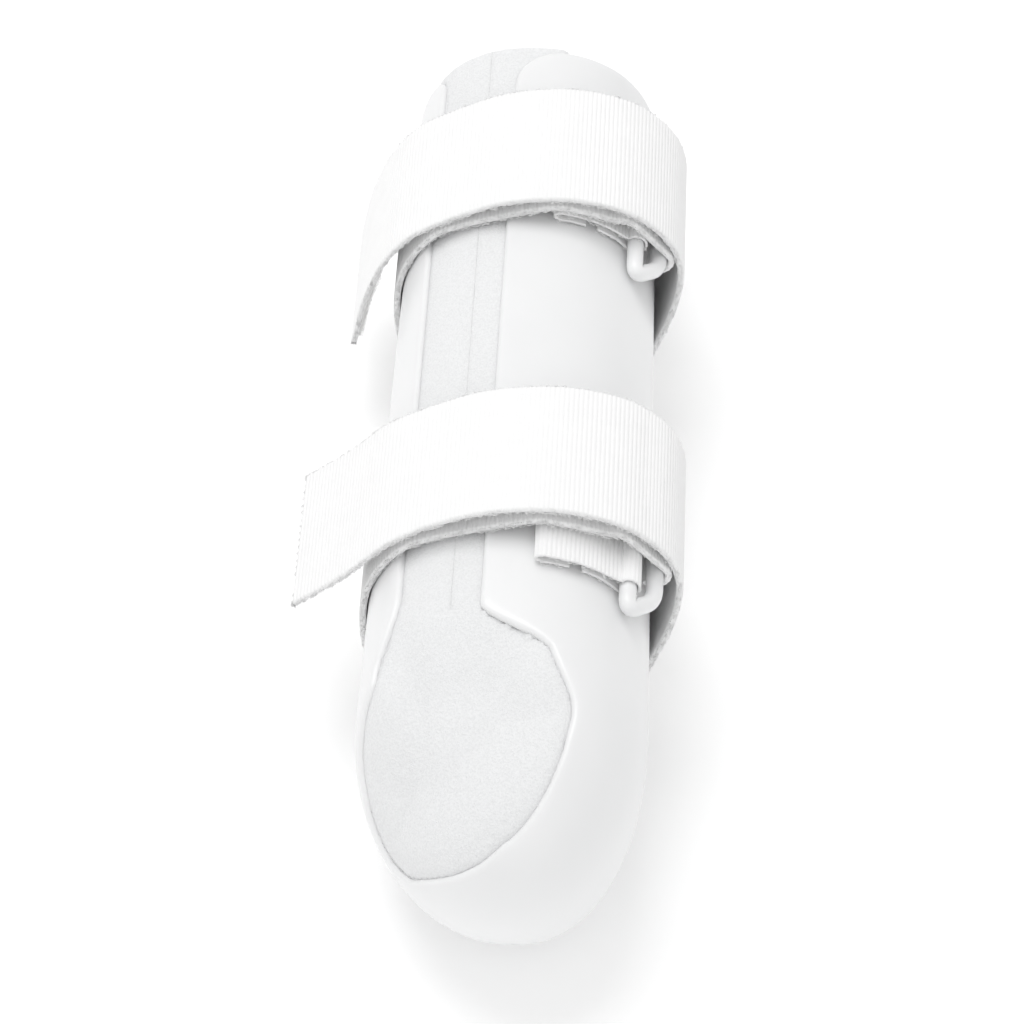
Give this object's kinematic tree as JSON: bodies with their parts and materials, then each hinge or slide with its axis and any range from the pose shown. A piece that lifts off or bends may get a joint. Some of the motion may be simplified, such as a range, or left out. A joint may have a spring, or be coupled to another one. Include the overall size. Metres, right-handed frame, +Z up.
{
  "type": "residual limb protector",
  "caption": "Rigid white wrap-round limb protector with a closed, windowed dome and a slit foam liner, held by ribbed straps that run through plastic rings.",
  "frame": {"origin": "centre of the bounding box's bottom face, on the surface that the protector lies on", "axes": "+Z up, +Y along the limb from the closed dome to the open end, +X across, towards the strap rings"},
  "size_m": [0.1071, 0.301, 0.0917],
  "materials": {
    "white_plastic": "semi-gloss, smooth",
    "white_foam": "matte, finely grained closed-cell foam",
    "webbing": "matte, ribbed across its width, fuzzy edges",
    "hook_tape": "matte, stiff hooks",
    "rivet_metal": "satin"
  },
  "bodies": {
    "protector": {"shell": "white_plastic", "liner": "white_foam", "strap_wrap_near": "webbing", "strap_wrap_far": "webbing", "chafe_near": "webbing", "chafe_far": "webbing", "rivet_near_1": "rivet_metal", "rivet_near_2": "rivet_metal", "rivet_far_1": "rivet_metal", "rivet_far_2": "rivet_metal"},
    "near_ring": {"ring_near": "white_plastic", "strap_start_near": "webbing"},
    "near_tail": {"strap_tail_near": "webbing"},
    "near_tip": {"strap_tip_near": "webbing", "hook_near": "hook_tape"},
    "far_ring": {"ring_far": "white_plastic", "strap_start_far": "webbing"},
    "far_tail": {"strap_tail_far": "webbing"},
    "far_tip": {"strap_tip_far": "webbing", "hook_far": "hook_tape"}
  },
  "joints": [
    {"name": "near_ring_swing", "type": "hinge", "parent": "protector", "child": "near_ring", "pos_m": [0.03845, -0.0386, 0.07225], "axis": [0, 1, 0], "range_deg": [0, 3]},
    {"name": "near_tail_peel", "type": "hinge", "parent": "protector", "child": "near_tail", "pos_m": [0.04581, -0.0296, 0.02801], "axis": [0, 1, 0], "range_deg": [0, 100]},
    {"name": "near_tip_peel", "type": "hinge", "parent": "near_tail", "child": "near_tip", "pos_m": [-0.01845, -0.0296, 0.08228], "axis": [0, 1, 0], "range_deg": [0, 60]},
    {"name": "far_ring_swing", "type": "hinge", "parent": "protector", "child": "far_ring", "pos_m": [0.03732, 0.0914, 0.07115], "axis": [0, 1, 0], "range_deg": [0, 3]},
    {"name": "far_tail_peel", "type": "hinge", "parent": "protector", "child": "far_tail", "pos_m": [0.04447, 0.0944, 0.02761], "axis": [0, 1, 0], "range_deg": [0, 100]},
    {"name": "far_tip_peel", "type": "hinge", "parent": "far_tail", "child": "far_tip", "pos_m": [-0.01704, 0.0944, 0.08024], "axis": [0, 1, 0], "range_deg": [0, 60]}
  ]
}
